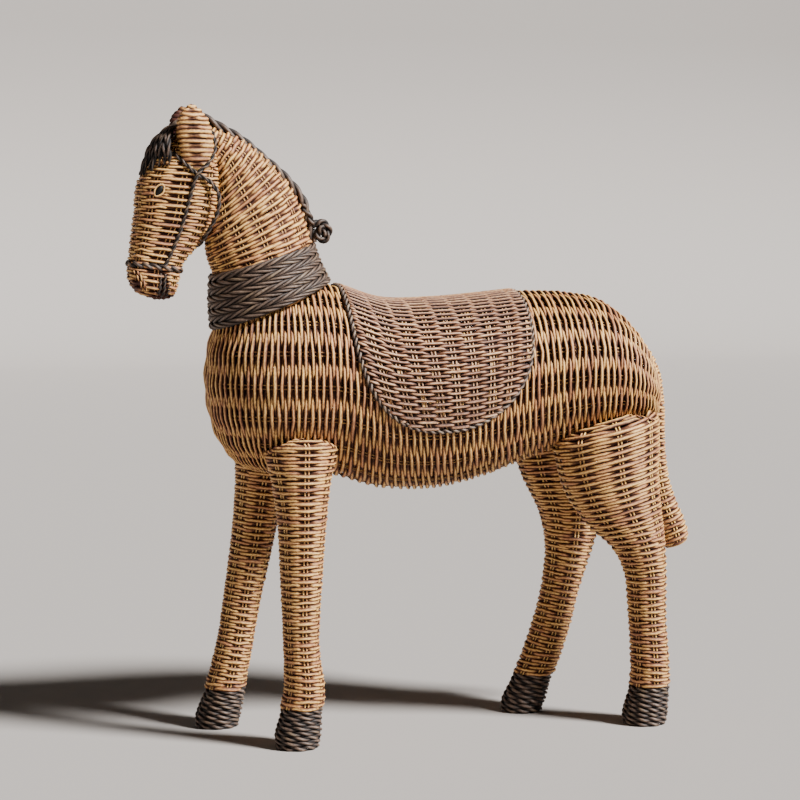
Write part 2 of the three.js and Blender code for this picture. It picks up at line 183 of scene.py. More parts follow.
class Casting:
    """Gathers the strands and skins of one piece. Each point keeps three things for the paint: how
    light it is painted, 1 on a strand's crown and 0 in the hollows, which is the glaze wiped off the
    crowns together with painted highlight and shade, its tone, and its place along the strand."""

    def __init__(self):
        self.points = []
        self.faces = []
        self.glaze_and_painted_light = []
        self.tone = []
        self.grain = []
        self.count = 0

    def add(self, points, faces, glaze_and_painted_light, tone, grain=None):
        points = points.reshape(-1, 3)
        self.points.append(points)
        self.faces += [tuple(int(c) + self.count for c in face) for face in faces]
        self.glaze_and_painted_light.append(np.broadcast_to(glaze_and_painted_light, len(points)) if np.ndim(glaze_and_painted_light) == 0 else glaze_and_painted_light.reshape(-1))
        self.tone.append(np.broadcast_to(tone, len(points)) if np.ndim(tone) == 0 else tone.reshape(-1))
        self.grain.append(points * 0.8 if grain is None else grain.reshape(-1, 3))
        self.count += len(points)

    def add_tube(self, tube, glaze_and_painted_light, tone, closed, run=None):
        """A tube from points[row, side]; one that isn't closed on itself gets flat ends."""
        rows, sides, _ = tube.shape
        near = tube[0, 1] - tube[0, 0]
        forth = tube[1, 0] - tube[0, 0]
        flip = np.dot(np.cross(near, forth), tube[0, 0] - tube[0].mean(axis=0)) < 0
        row = np.arange(rows if closed else rows - 1)[:, None]
        side = np.arange(sides)[None, :]
        a = row * sides + side
        b = row * sides + (side + 1) % sides
        c = ((row + 1) % rows) * sides + (side + 1) % sides
        d = ((row + 1) % rows) * sides + side
        quads = np.stack([a, b, c, d], -1).reshape(-1, 4)
        if flip:
            quads = quads[:, ::-1]
        faces = quads.tolist()
        if not closed:
            start = list(range(sides))
            end = list(range((rows - 1) * sides, rows * sides))
            faces.append(start if flip else start[::-1])
            faces.append(end[::-1] if flip else end)
        grain = None
        if run is not None:
            width = np.linalg.norm(tube - tube[:, :1], axis=-1)
            grain = np.stack([
                np.broadcast_to(run[:, None], width.shape) * GRAIN_ALONG,
                width * GRAIN_ACROSS,
                np.full(width.shape, chance.uniform(0, 90)),
            ], -1)
        self.add(tube, faces, glaze_and_painted_light, tone, grain)

    def add_strand(self, base, across, normal, lift, half, rise, depth, tone, closed):
        """A strand with a round back and a flat underside. depth is 1 where it lies on top and 0
        where it is tucked under."""
        tube = section(base, across, normal, half[:, None], lift[:, None], rise, STRAND_SIDES)
        glaze_and_painted_light = CROWN_GLAZE_AND_HIGHLIGHT[None, :] * (TUCKED_GLAZE_AND_SHADE + (1 - TUCKED_GLAZE_AND_SHADE) * depth[:, None])
        run = np.concatenate([[0], np.cumsum(np.linalg.norm(np.diff(base, axis=0), axis=1))])
        self.add_tube(tube, glaze_and_painted_light, np.repeat(tone, len(STRAND_SIDES)), closed, run)

    def add_skin(self, form, lift, rows, sides, first=0.0, last=1.0):
        """The closed dark ground behind a form's strands, its poles merged: glaze and painted shade deep in
        the gaps.
        """
        u = np.linspace(first, last, rows + 1)[:, None]
        angle = np.linspace(0, 2 * math.pi, sides, endpoint=False)[None, :]
        points = form.skin(u, angle) + form.outward(u + 0 * angle, angle + 0 * u) * lift
        skin = bmesh.new()
        corners = [skin.verts.new(point) for point in points.reshape(-1, 3)]
        for i in range(rows):
            for j in range(sides):
                k = (j + 1) % sides
                skin.faces.new([
                    corners[i * sides + j], corners[i * sides + k],
                    corners[(i + 1) * sides + k], corners[(i + 1) * sides + j],
                ])
        for i in (0, rows):
            skin.faces.new([corners[i * sides + j] for j in range(sides)])
        bmesh.ops.remove_doubles(skin, verts=skin.verts, dist=WELD)
        bmesh.ops.recalc_face_normals(skin, faces=skin.faces)
        skin.verts.index_update()
        kept = np.array([corner.co[:] for corner in skin.verts])
        self.add(kept, [[c.index for c in face.verts] for face in skin.faces], 0.0, 0.5)
        skin.free()

    def finish(self, name, material):
        mesh = bpy.data.meshes.new(name)
        mesh.from_pydata(np.concatenate(self.points) * MM, [], self.faces)
        for key, values in (("glaze_and_painted_light", self.glaze_and_painted_light), ("tone", self.tone)):
            layer = mesh.attributes.new(key, "FLOAT", "POINT")
            layer.data.foreach_set("value", np.concatenate(values).astype(np.float32))
        layer = mesh.attributes.new("grain", "FLOAT_VECTOR", "POINT")
        layer.data.foreach_set("vector", np.concatenate(self.grain).astype(np.float32).ravel())
        mesh.validate()
        mesh.shade_smooth()
        mesh.materials.append(material)
        piece = bpy.data.objects.new(name, mesh)
        bpy.context.scene.collection.objects.link(piece)
        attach(piece, "root")
        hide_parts("horse_statue")
        return piece


def on_top(wave, dip):
    """1 where a strand lies over its stakes, easing to 0 where it is tucked under the next pair."""
    low, high = dip
    depth = np.clip((wave - low) / (high - low), 0, 1)
    return depth * depth * (3 - 2 * depth)


def weave(casting, form, stakes, first=0.0, last=1.0, style=CLOSE_WEAVE, pitch=STRAND_PITCH,
          column=-math.pi / 2, trim=None, sink=None, steps_per_stake=STEPS_PER_STAKE):
    """Wickerwork on a form between two shares of its length. stakes lists (share, count) steps
    from which the number of stake pairs round the form changes. sink says how much deeper a point
    lies, and trim moves points and paints them darker, with painted shade."""
    rings = max(int(round((last - first) * form.length / pitch)), 2)
    for ring in range(rings):
        count = [n for share, n in stakes if first + (last - first) * (ring + 0.5) / rings >= share][-1]
        steps = count * steps_per_stake
        turn = np.arange(steps) / steps_per_stake + round(count * 0.75)
        angle = column + 2 * math.pi * turn / count
        u = np.full(steps, first + (last - first) * (ring + 0.5) / rings)
        wave = np.cos(math.pi * turn) * (-1) ** ring
        depth = on_top(wave, style["dip"])
        along, run = form.along(u, angle)
        room = run * (last - first) / rings
        floats = (np.floor(turn + 0.5).astype(int)) % count
        bends = chance.normal(0, STRAND_STRAY, 2 * count)
        stray = np.interp(2 * turn % (2 * count), np.arange(2 * count + 1), np.append(bends, bends[0]))
        u = np.clip(u + stray / np.maximum(run, 1), 0, 1)
        base = form.skin(u, angle)
        normal = form.outward(u, angle)
        half = style["half"] * np.clip(room / STRAND_PITCH, 0.3, 1.12)
        half = half * chance.uniform(*STRAND_WIDTHS, count)[floats]
        lift = style["under"] + (style["over"] - style["under"]) * depth
        lift = lift + style["arch"] * np.clip(wave, 0, 1) ** 2
        lift = lift + chance.normal(0, LIFT_STRAY, count)[floats] * depth
        if sink is not None:
            lift = lift - sink(base)
        tone = np.clip(0.5 * chance.uniform(0, 1) + 0.5 * chance.uniform(0, 1, count)[floats], 0, 1)
        tone = np.clip(tone + chance.normal(0, 0.12), 0, 1)
        if trim is not None:
            base, depth = trim(base, depth)
        casting.add_strand(base, along, normal, lift, half, style["rise"], depth, tone, True)
    bounds = [share for share, _ in stakes] + [1.0]
    for (share, count), end in zip(stakes, bounds[1:]):
        low = max(share, first)
        high = min(end, last)
        if high - low < 0.02:
            continue
        rows = max(int((high - low) * form.length / STAKE_STEP), 6)
        u = np.linspace(low, high, rows)
        for stake in range(count):
            for twin in (-1, 1):
                angle = np.full(rows, column + 2 * math.pi * stake / count)
                _, reach = form.around(u, angle)
                room = np.clip(2 * math.pi * reach / count / 5, 0.1, STAKE_GAP / 2)
                angle = angle + twin * room / np.maximum(reach, 1)
                base = form.skin(u, angle)
                around, _ = form.around(u, angle)
                normal = form.outward(u, angle)
                half = style["stake"] * np.clip(room / (STAKE_GAP / 2), 0.3, 1)
                lift = np.full(rows, STAKE_LIFT)
                if sink is not None:
                    lift = lift - sink(base)
                shade = np.ones(rows)
                if trim is not None:
                    base, shade = trim(base, shade)
                half = half[:, None]
                tube = section(base, around, normal, half, lift[:, None], half, STAKE_SIDES)
                glaze_and_painted_light = np.repeat(shade * style["bright"], len(STAKE_SIDES))
                casting.add_tube(tube, glaze_and_painted_light, chance.uniform(0.3, 1), False, u * form.length)


def linear(colour):
    """An sRGB hex colour as the linear values that a shader takes."""
    channels = [int(colour[i:i + 2], 16) / 255 for i in (1, 3, 5)]
    return tuple(c / 12.92 if c <= 0.04045 else ((c + 0.055) / 1.055) ** 2.4 for c in channels) + (1.0,)


def add(tree, kind, settings=None, inputs=None, links=None):
    """One shader node, with its settings, its socket values and what is plugged into it."""
    node = tree.nodes.new(kind)
    for key, value in (settings or {}).items():
        setattr(node, key, value)
    for key, value in (inputs or {}).items():
        node.inputs[key].default_value = value
    for key, source in (links or {}).items():
        tree.links.new(source, node.inputs[key])
    return node


def set_stops(ramp, stops):
    """Gives a colour ramp its stops, each a position and a colour."""
    for k, (position, colour) in enumerate(stops):
        stop = ramp.color_ramp.elements[k] if k < 2 else ramp.color_ramp.elements.new(1.0)
        stop.position = position
        stop.color = linear(colour)


def glazed_resin_with_painted_light(name, tones, glaze_and_shade_stops, roughness, fibre_mm):
    """Painted polyresin: a base coat that changes from strand to strand, and a dark glaze that was
    wiped off the crowns and stays in the hollows; the same ramp paints each strand's highlight on its
    crown and its shade on the flanks and in the gaps. glaze_and_shade_stops are (how light a point
    is painted, share of the base coat)."""
    material = bpy.data.materials.new(name)
    material.use_nodes = True
    tree = material.node_tree
    tree.nodes.clear()
    place = add(tree, "ShaderNodeTexCoord")
    tone, glaze_and_painted_light, grain = (
        add(tree, "ShaderNodeAttribute", {"attribute_name": key}) for key in ("tone", "glaze_and_painted_light", "grain")
    )
    blotch = add(tree, "ShaderNodeTexNoise",
                 inputs={"Scale": 1 / (BLOTCH_MM * MM), "Detail": 3.0, "Roughness": 0.6},
                 links={"Vector": place.outputs["Object"]})
    fibre = add(tree, "ShaderNodeTexNoise",
                inputs={"Scale": 1 / fibre_mm, "Detail": 3.0, "Roughness": 0.65},
                links={"Vector": grain.outputs["Vector"]})
    mixed = add(tree, "ShaderNodeMath", {"operation": "MULTIPLY_ADD"}, {1: 0.9},
                {0: blotch.outputs["Fac"], 2: tone.outputs["Fac"]})
    spread = add(tree, "ShaderNodeMapRange", inputs={"From Min": 0.35, "From Max": 1.45},
                 links={"Value": mixed.outputs["Value"]})
    base = add(tree, "ShaderNodeValToRGB", links={"Fac": spread.outputs["Result"]})
    set_stops(base, [(k / (len(tones) - 1), colour) for k, colour in enumerate(tones)])
    wear_and_light = add(tree, "ShaderNodeMath", {"operation": "MULTIPLY_ADD"}, {1: 0.95},
               {0: fibre.outputs["Fac"], 2: glaze_and_painted_light.outputs["Fac"]})
    level = add(tree, "ShaderNodeMath", {"operation": "SUBTRACT"}, {1: 0.475},
                {0: wear_and_light.outputs["Value"]})
    glaze = add(tree, "ShaderNodeValToRGB", links={"Fac": level.outputs["Value"]})
    set_stops(glaze, glaze_and_shade_stops)
    painted = add(tree, "ShaderNodeMix", {"data_type": "RGBA", "blend_type": "MULTIPLY"},
                  {"Factor": 1.0}, {6: base.outputs["Color"], 7: glaze.outputs["Color"]})
    rough_back = add(tree, "ShaderNodeBump", inputs={"Strength": 0.6, "Distance": 0.00025},
                     links={"Height": fibre.outputs["Fac"]})
    dull = add(tree, "ShaderNodeMapRange", inputs={"To Min": roughness[0], "To Max": roughness[1]},
               links={"Value": level.outputs["Value"]})
    shader = add(tree, "ShaderNodeBsdfPrincipled", inputs={"IOR": 1.5},
                 links={"Base Color": painted.outputs[2], "Roughness": dull.outputs["Result"],
                        "Normal": rough_back.outputs["Normal"]})
    add(tree, "ShaderNodeOutputMaterial", links={"Surface": shader.outputs["BSDF"]})
    return material


# Straw base coat, pinkish on some strands and yellowish on others, under a burnt umber glaze
# and painted highlight and shade: bright crowns with brown flanks, and hollows that are nearly black.
straw_resin = glazed_resin_with_painted_light(
    "straw_resin_glaze_and_painted_light",
    ["#b48464", "#d8a67c", "#f0c688", "#ffdc92", "#e6c284"],
    [(0.06, "#441806"), (0.32, "#4a2810"), (0.58, "#74553c"), (0.8, "#ceb496"), (0.98, "#fff0d6")],
    roughness=(0.8, 0.52),
    fibre_mm=0.55,
)

trunk_form = Form(trunk_ring)
trunk = Casting()
trunk.add_skin(trunk_form, GROUND_LIFT, 60, 48)
weave(trunk, trunk_form, TRUNK_STAKES, last=0.985, style=OPEN_WEAVE, column=TRUNK_COLUMN)
trunk.finish("woven_trunk", straw_resin)


# The neck, head and ears: the same wickerwork, closer and on narrower forms, cast in one with the
# trunk. The neck's strands lie across its slope and the head's nearly level; the nostrils, the
# mouth and the sockets are pressed in.
NECK_RINGS = [
    [-94, 0, 256, 0, 0, 24],
    [-95, 0, 264, 30, 28, 24],
    [-96, 0, 280, 35, 31, 22],
    [-99.5, 0, 300, 32, 27, 20],
    [-105.8, 0, 320.2, 32.8, 21.5, 31],
    [-113.2, 0, 338.8, 28, 14.8, 40],
    [-122, 0, 360, 16.5, 13.5, 52],
    [-135, 0, 372, 9, 8, 60],
    [-137, 0, 376, 0, 0, 60],
]
HEAD_RINGS = [
    [-141, 0, 384, 0, 0, 10],
    [-142, 0, 381, 7, 9, 10],
    [-143, 0, 374, 12.5, 13, 5],
    [-146.5, 0, 362, 19, 15.8, 0],
    [-151.5, 0, 345, 24.8, 17.2, -4],
    [-154.5, 0, 327, 24, 16, -6],
    [-160, 0, 312, 20.5, 14, -7],
    [-165.5, 0, 300, 16.5, 12.6, -8],
    [-167.5, 0, 290, 15.5, 12.6, -8],
    [-167.5, 0, 282, 13.5, 11.5, -8],
    [-166.5, 0, 277.5, 8, 7, -8],
    [-166, 0, 276.5, 0, 0, -8],
]
EAR_RINGS = [
    [-142, -9, 350, 0, 0, 0],
    [-142.5, -11.5, 356, 9.5, 5.6, 0],
    [-144, -14, 368, 11.8, 6.4, 0],
    [-145.6, -15.5, 380, 11, 5.8, 0],
    [-146.2, -16, 388, 7.6, 4, 0],
    [-145.8, -16, 394, 0, 0, 0],
]
HEAD_ROUNDNESS = 3.0
EAR_CUP_DEPTH = 5.0
NECK_PITCH = 2.25
HEAD_PITCH = 2.03
EAR_PITCH = 2.8
NECK_STAKES = [(0.0, 14), (0.62, 10)]
HEAD_STAKES = [(0.0, 6), (0.12, 10), (0.72, 8), (0.95, 4)]
HEAD_WEAVE = dict(OPEN_WEAVE, half=1.26, arch=0.4, dip=(-0.97, -0.4), stake=0.5, bright=0.85)
NECK_WEAVE = dict(CLOSE_WEAVE, half=1.42, dip=(-1.0, -0.35), stake=0.45, bright=0.8)
EAR_WEAVE = dict(OPEN_WEAVE, half=1.6, rise=1.2, arch=0.2, over=-0.2, under=-1.1, dip=(-1.1, -0.7),
                 stake=0.3)
MOUTH_PLACE = -162.5
MOUTH_HALF = 2.2
MOUTH_TOP = 291.0
EYE_PLACE = (-165.6, 340.8)
SOCKET_SIZE = (3.4, 4.4)
NOSTRIL_PLACE = (-178.5, 284.5)
NOSTRIL_SIZE = (2.4, 3.2)


def limb_ring(rings, roundness=2.0, hollow=0.0, mirror=1):
    """A limb's skin from its table; angle 0 faces the tail. hollow cups the side that faces front."""
    def ring(share, angle):
        x, y, z, deep, wide, tilt = np.moveaxis(along_table(rings, share), -1, 0)
        deep = np.maximum(deep, 0)
        wide = np.maximum(wide, 0)
        tilt = np.radians(tilt)
        cosine = np.sign(np.cos(angle)) * np.abs(np.cos(angle)) ** (2 / roundness)
        sine = np.sign(np.sin(angle)) * np.abs(np.sin(angle)) ** (2 / roundness)
        if hollow:
            front = np.clip(-np.cos(angle), 0, 1) ** 8
            cosine = cosine + hollow / np.maximum(deep, 3) * front * np.clip(deep / 9, 0, 1)
        aft = np.stack([np.cos(tilt), 0 * tilt, np.sin(tilt)], -1)
        point = np.stack([x, y, z], -1) + aft * (deep * cosine)[..., None]
        point[..., 1] += wide * sine
        return point * np.array([1, mirror, 1])
    return ring


def from_spot(x, z, place, size):
    """How far a point of the head's side is from a spot, squared, with the spot's edge at 1."""
    return ((x - place[0]) / size[0]) ** 2 + ((z - place[1]) / size[1]) ** 2


def press_face(points, depth):
    """Presses the mouth, the nostrils and the eye sockets into the head's strands, and paints them and
    the underside of the chin darker: painted shade in the hollows and under the muzzle, with glaze.
    """
    x, y, z = np.moveaxis(points, -1, 0)
    mouth = np.exp(-((x - MOUTH_PLACE) / MOUTH_HALF) ** 4) * np.clip((MOUTH_TOP - z) / 3, 0, 1)
    nostril = np.exp(-from_spot(x, z, NOSTRIL_PLACE, NOSTRIL_SIZE))
    socket = np.exp(-from_spot(x, z, EYE_PLACE, SOCKET_SIZE) ** 2)
    chin = np.clip((280.5 - z) / 2.5, 0, 1) * np.clip((x + 174) / 4, 0, 1)
    dent = np.clip(mouth * 1.8 + nostril * 2.2 + socket * 1.4, 0, 2.6)
    pressed = points.copy()
    pressed[..., 1] -= np.sign(y) * np.minimum(dent, np.abs(y) * 0.8)
    # Painted shade: darker in the mouth, nostrils and sockets, and under the chin
    dark = np.clip(mouth * 0.95 + nostril * 1.1 + socket * 0.5 + chin * 0.7, 0, 0.95)
    return pressed, depth * (1 - dark) - 0.25 * dark


def shade_cup(points, depth):
    """Darkens the hollow of an ear, which opens to the front: painted shade, with glaze. More of the
    far ear's hollow is darkened, and it shows.
    """
    middle = np.interp(points[:, 2], [350, 368, 388], [-142, -144, -146.2])
    reach = 12 if points[:, 1].mean() < 0 else 3
    lit = np.clip((points[:, 0] - middle + reach) / 4, 0, 1)
    return points, depth * lit - 0.3 * (1 - lit)


neck_form = Form(limb_ring(NECK_RINGS))
head_form = Form(limb_ring(HEAD_RINGS, HEAD_ROUNDNESS))
neck_head = Casting()
neck_head.add_skin(neck_form, GROUND_LIFT, 30, 32)
neck_head.add_skin(head_form, GROUND_LIFT, 40, 32)
weave(neck_head, neck_form, NECK_STAKES, first=0.12, last=0.97, pitch=NECK_PITCH, style=NECK_WEAVE)
weave(neck_head, head_form, HEAD_STAKES, last=0.99, pitch=HEAD_PITCH, style=HEAD_WEAVE,
      trim=press_face, steps_per_stake=6)
for side in (1, -1):
    ear_form = Form(limb_ring(EAR_RINGS, 2.0, EAR_CUP_DEPTH, side))
    neck_head.add_skin(ear_form, GROUND_LIFT * 0.5, 20, 24, first=0.04)
    weave(neck_head, ear_form, [(0.0, 4)], first=0.1, last=0.985, style=EAR_WEAVE, pitch=EAR_PITCH,
          trim=shade_cup, steps_per_stake=8)
neck_head.finish("woven_neck_and_head", straw_resin)


# The legs and the tail: woven sleeves that stand a little proud of the trunk where they meet it,
# each leg edged there with a thin cord. They end inside the rope hooves, and the tail in a cut end
# beside the near hind leg.
LEG_RINGS = {
    "near_fore": [
        [-84, -22, 196, 0, 0, 0],
        [-81.5, -27, 189, 21.5, 18, 0],
        [-81.5, -28.5, 181, 22, 18.5, 0],
        [-82, -30.5, 163, 17.7, 17, 0],
        [-82, -32.5, 138, 14.5, 14.2, 0],
        [-82.5, -33, 112, 12.9, 12.6, 0],
        [-83.2, -34.5, 66, 10.6, 11, 0],
        [-81.5, -35, 38, 12, 12, -4],
        [-83.5, -35, 22, 11.6, 11.6, 0],
        [-84, -35, 14, 0, 0, 0],
    ],
    "far_fore": [
        [-90, 22, 196, 0, 0, 0],
        [-91, 25, 188, 17, 17, 0],
        [-93, 28, 178, 18, 18, -4],
        [-96, 31, 155, 15, 15.6, -8],
        [-99.5, 32.5, 125, 13.4, 13.6, -8],
        [-106, 34.5, 87, 11.6, 11.6, -8],
        [-111, 35, 57, 11.1, 11.2, -9],
        [-115.5, 35, 36, 11.6, 11.8, -8],
        [-119, 35, 22, 11.6, 11.6, 0],
        [-121, 35, 14, 0, 0, 0],
    ],
    "near_hind": [
        [118, -18, 204, 0, 0, 14],
        [118, -24, 194, 32, 23, 14],
        [119, -26, 180, 34.5, 24.5, 14],
        [122, -27, 158, 31, 22, 14],
        [130, -27.5, 136, 24.5, 18, 13],
        [139.5, -28, 118, 17, 15, 10],
        [144.8, -28, 98, 13, 13, 4],
        [146.3, -28, 70, 11.6, 12, 2],
        [148.5, -28, 38, 12, 12, -5],
        [148, -28, 22, 11.6, 11.6, 0],
        [147, -28, 13, 0, 0, 0],
    ],
    "far_hind": [
        [100, 18, 204, 0, 0, 10],
        [102, 22, 194, 28, 21, 10],
        [105, 25, 180, 31, 23, 8],
        [109, 26, 160, 29.5, 21, 6],
        [113, 27.5, 132, 21, 17, -2],
        [112, 28, 108, 15.4, 14, -8],
        [107, 28, 84, 12.2, 12.4, -10],
        [101, 28, 60, 12, 11.8, -12],
        [93, 28, 36, 12.2, 12, -10],
        [87, 28, 22, 11.6, 11.6, 0],
        [83, 28, 14, 0, 0, 0],
    ],
}
TAIL_RINGS = [
    [138, 0, 245, 0, 0, 60],
    [146, 0, 242, 6, 7, 52],
    [156, 0, 225, 7.2, 8, 20],
    [159.8, 0, 204, 7, 8, 3],
    [160.6, 0, 180, 6.8, 8.5, 2],
    [161.8, 0, 160, 7.6, 9, 10],
    [165.8, 0, 141, 9, 9.5, 18],
    [172.5, 0, 124, 9.8, 10, 22],
    [176, 0, 113.5, 8.6, 9, 22],
    [176.6, 0, 111.5, 0, 0, 22],
]
LEG_RIMS = {
    "near_fore": (-81.0, 22.0, 191.5, 8.5),
    "far_fore": (-91.0, 18.0, 190.5, 8.0),
    "near_hind": (127.0, 32.0, 200.5, 9.7),
    "far_hind": (110.0, 28.0, 200.5, 9.7),
}
LEG_STAKES = {"fore": [(0.0, 6)], "hind": [(0.0, 8), (0.48, 6)]}
LEG_PITCH = 2.2
LEG_FOOT = 24.6
SINK_DEPTH = 9.0
SINK_END = 144.0
RIM_CORD = 2.6
RIM_LAY = 8.0
# How far a strand's middle lies from the rope's, and its own radius, for ropes of 2, 3 and 4 strands
ROPE_STRANDS = {2: (0.46, 0.56), 3: (0.52, 0.5), 4: (0.6, 0.42)}


def rim_height(x, name):
    """How high a leg's rounded top reaches on the flank, at x."""
    centre, deep, top, drop = LEG_RIMS[name]
    return top - drop * ((x - centre) / deep) ** 2


def sink_above_rim(name):
    """Lays a leg's strands down into the flank above its rim."""
    def sink(points):
        over = points[:, 2] - rim_height(points[:, 0], name)
        buried = np.clip((SINK_END - points[:, 0]) / 6, 0, 1) * (np.abs(points[:, 1]) > 14)
        return np.clip(over / 1.5, 0, 1) * SINK_DEPTH * buried
    return sink


def twist(casting, path, up, radius, lay, closed, strands=2, sides=6, step=1.1, hand=1, dark=0.0):
    """Rope of two to four strands along a path. up points away from what the rope lies on, lay is
    the length of one turn of the twist, and hand is the way that it turns."""
    if closed:
        ends = np.roll(path, -1, axis=0)
        lengths = np.concatenate([[0], np.cumsum(np.linalg.norm(ends - path, axis=1))])
        path = np.vstack([path, path[:1]])
        up = np.vstack([up, up[:1]])
        radius = np.append(radius, radius[0]) if np.ndim(radius) else radius
    else:
        lengths = np.concatenate([[0], np.cumsum(np.linalg.norm(np.diff(path, axis=0), axis=1))])
    total = lengths[-1]
    turns = max(round(total / lay), 1) if closed else total / lay
    count = max(int(total / step), 6)
    at = np.linspace(0, total, count, endpoint=not closed)
    centre = np.stack([np.interp(at, lengths, path[:, k]) for k in range(3)], -1)
    out = np.stack([np.interp(at, lengths, up[:, k]) for k in range(3)], -1)
    size = np.interp(at, lengths, radius) if np.ndim(radius) else np.full(count, float(radius))
    if closed:
        forward = np.roll(centre, -1, axis=0) - np.roll(centre, 1, axis=0)
    else:
        forward = np.gradient(centre, axis=0)
    forward /= np.linalg.norm(forward, axis=1, keepdims=True)
    out -= (out * forward).sum(axis=1, keepdims=True) * forward
    out /= np.linalg.norm(out, axis=1, keepdims=True)
    side = np.cross(forward, out)
    phi = np.linspace(0, 2 * math.pi, sides, endpoint=False)
    reach, thick = ROPE_STRANDS[strands]
    for strand in range(strands):
        theta = hand * 2 * math.pi * turns * at / total + 2 * math.pi * strand / strands
        aim = out * np.cos(theta)[:, None] + side * np.sin(theta)[:, None]
        middle = centre + aim * size[:, None] * reach
        ring = out[:, None, :] * np.cos(phi)[None, :, None] + side[:, None, :] * np.sin(phi)[None, :, None]
        own = size * thick * (1 + 0.06 * np.sin(at / lay * 9 + chance.uniform(0, 6)))
        points = middle[:, None, :] + ring * own[:, None, None]
        # Painted highlight and shade with glaze: the rope is lighter on its outer side and on its strands'
        # crowns, darker towards what it lies on and in the crevices between strands
        away = ((points - centre[:, None, :]) * out[:, None, :]).sum(-1) / size[:, None]
        far = np.linalg.norm(points - centre[:, None, :], axis=-1) / size[:, None]
        glaze_and_painted_light = np.clip(0.12 + 0.5 * away + 0.42 * (far - 0.3) - dark, 0, 1)
        tone = np.full(points.shape[:2], chance.uniform(0, 1))
        casting.add_tube(points, glaze_and_painted_light, tone, closed, at)


def shade_shank(points, depth):
    """Darkens the legs towards the hooves: painted shade low on the legs."""
    return points, depth * np.interp(points[:, 2], [25, 170], [0.88, 1.0])


for pair in ("fore", "hind"):
    legs = Casting()
    for name in ("near_" + pair, "far_" + pair):
        leg_form = Form(limb_ring(LEG_RINGS[name]))
        legs.add_skin(leg_form, GROUND_LIFT, 40, 20, first=0.06 if pair == "hind" else 0.0)
        column = -math.pi / 2 if name.startswith("near") else math.pi / 2
        shares = np.linspace(0, 1, 400)
        heights = leg_form.skin(shares, np.full(400, math.pi / 2))[:, 2]
        last = float(np.interp(-LEG_FOOT, -heights, shares))
        weave(legs, leg_form, LEG_STAKES[pair], first=0.02, last=last, column=column, pitch=LEG_PITCH,
              steps_per_stake=8, sink=sink_above_rim(name), trim=shade_shank)
        side = -1 if name.startswith("near") else 1
        shares = np.linspace(0.01, 0.4, 500)
        path = []
        normals = []
        for angle in np.radians(side * np.linspace(12, 172, 60)):
            line = leg_form.skin(shares, np.full(500, angle))
            k = int(np.argmax(line[:, 2] < rim_height(line[:, 0], name)))
            path.append(line[k])
            normals.append(leg_form.outward(shares[k:k + 1], np.array([angle]))[0])
        normals = np.array(normals)
        twist(legs, np.array(path) + normals * -0.3, normals, RIM_CORD / 2, RIM_LAY, False)
    legs.finish("woven_" + pair + "_legs", straw_resin)

tail_form = Form(limb_ring(TAIL_RINGS))
tail = Casting()
tail.add_skin(tail_form, GROUND_LIFT * 0.8, 40, 14)
weave(tail, tail_form, [(0.0, 4)], first=0.03, last=0.98, column=math.pi / 2, pitch=LEG_PITCH,
      steps_per_stake=8)
tail.finish("woven_tail", straw_resin)


# The saddle cloth: a finer mat laid over the back, with its strands running along the horse and
# its stakes fanning down each flank, cast on the trunk and painted a rosier brown.
SADDLE_LENGTH = 116.0
SADDLE_CENTRE = 5.0
SADDLE_DROP = 108.5
SADDLE_THICKNESS = 2.2
SADDLE_PITCH = 2.0
SADDLE_COLUMN = 13.7
SADDLE_FAN = 0.3
SADDLE_STRAY = 0.16
FAN_PLACE = 22.0
MAT_FLOATS = 40
SADDLE_WEAVE = dict(half=1.18, rise=1.2, over=-0.25, under=-2.4, dip=(-0.85, -0.05), stake=0.58,
                    bright=0.9)


def saddle_reach(share):
    """Half the mat's length at a share of its drop, from -1 on the near side to 1 on the far."""
    return SADDLE_LENGTH / 2 * np.maximum(1 - np.abs(share) ** 5, 0) ** 0.45


trunk_samples = np.linspace(0, 1, 800)
trunk_spine = trunk_form.skin(trunk_samples, np.zeros(800))[:, 0]


def trunk_at(x):
    """The share of the trunk's length where its rings stand at x."""
    return np.interp(x, trunk_spine, trunk_samples)


saddle = Casting()
rows = int(2 * math.radians(SADDLE_DROP) * 56 / SADDLE_PITCH)
for row in range(1, rows):
    share = 2 * row / rows - 1
    reach = float(saddle_reach(share)) - 0.8
    if reach < 3:
        continue
    steps = max(int(2 * reach / 2.2), 4)
    x = np.linspace(SADDLE_CENTRE - reach, SADDLE_CENTRE + reach, steps)
    turn = (x - FAN_PLACE) / (SADDLE_COLUMN * (1 - SADDLE_FAN * abs(share) ** 2))
    floats = np.floor(turn + 0.5).astype(int)
    wave = np.cos(math.pi * turn) * (-1) ** row
    depth = on_top(wave, SADDLE_WEAVE["dip"])
    stray = chance.normal(0, SADDLE_STRAY, MAT_FLOATS)[floats % MAT_FLOATS] / 55
    angle = math.radians(SADDLE_DROP) * share + stray
    u = trunk_at(x)
    base = trunk_form.skin(u, angle)
    around, _ = trunk_form.around(u, angle)
    normal = trunk_form.outward(u, angle)
    lift = SADDLE_THICKNESS + SADDLE_WEAVE["under"]
    lift = lift + (SADDLE_WEAVE["over"] - SADDLE_WEAVE["under"]) * depth
    half = SADDLE_WEAVE["half"] * chance.uniform(0.85, 1.1, MAT_FLOATS)[floats % MAT_FLOATS]
    tone = 0.5 * chance.uniform(0, 1) + 0.5 * chance.uniform(0, 1, MAT_FLOATS)[floats % MAT_FLOATS]
    tone = np.clip(tone, 0, 1)
    saddle.add_strand(base, around, normal, lift, half, SADDLE_WEAVE["rise"], depth, tone, False)
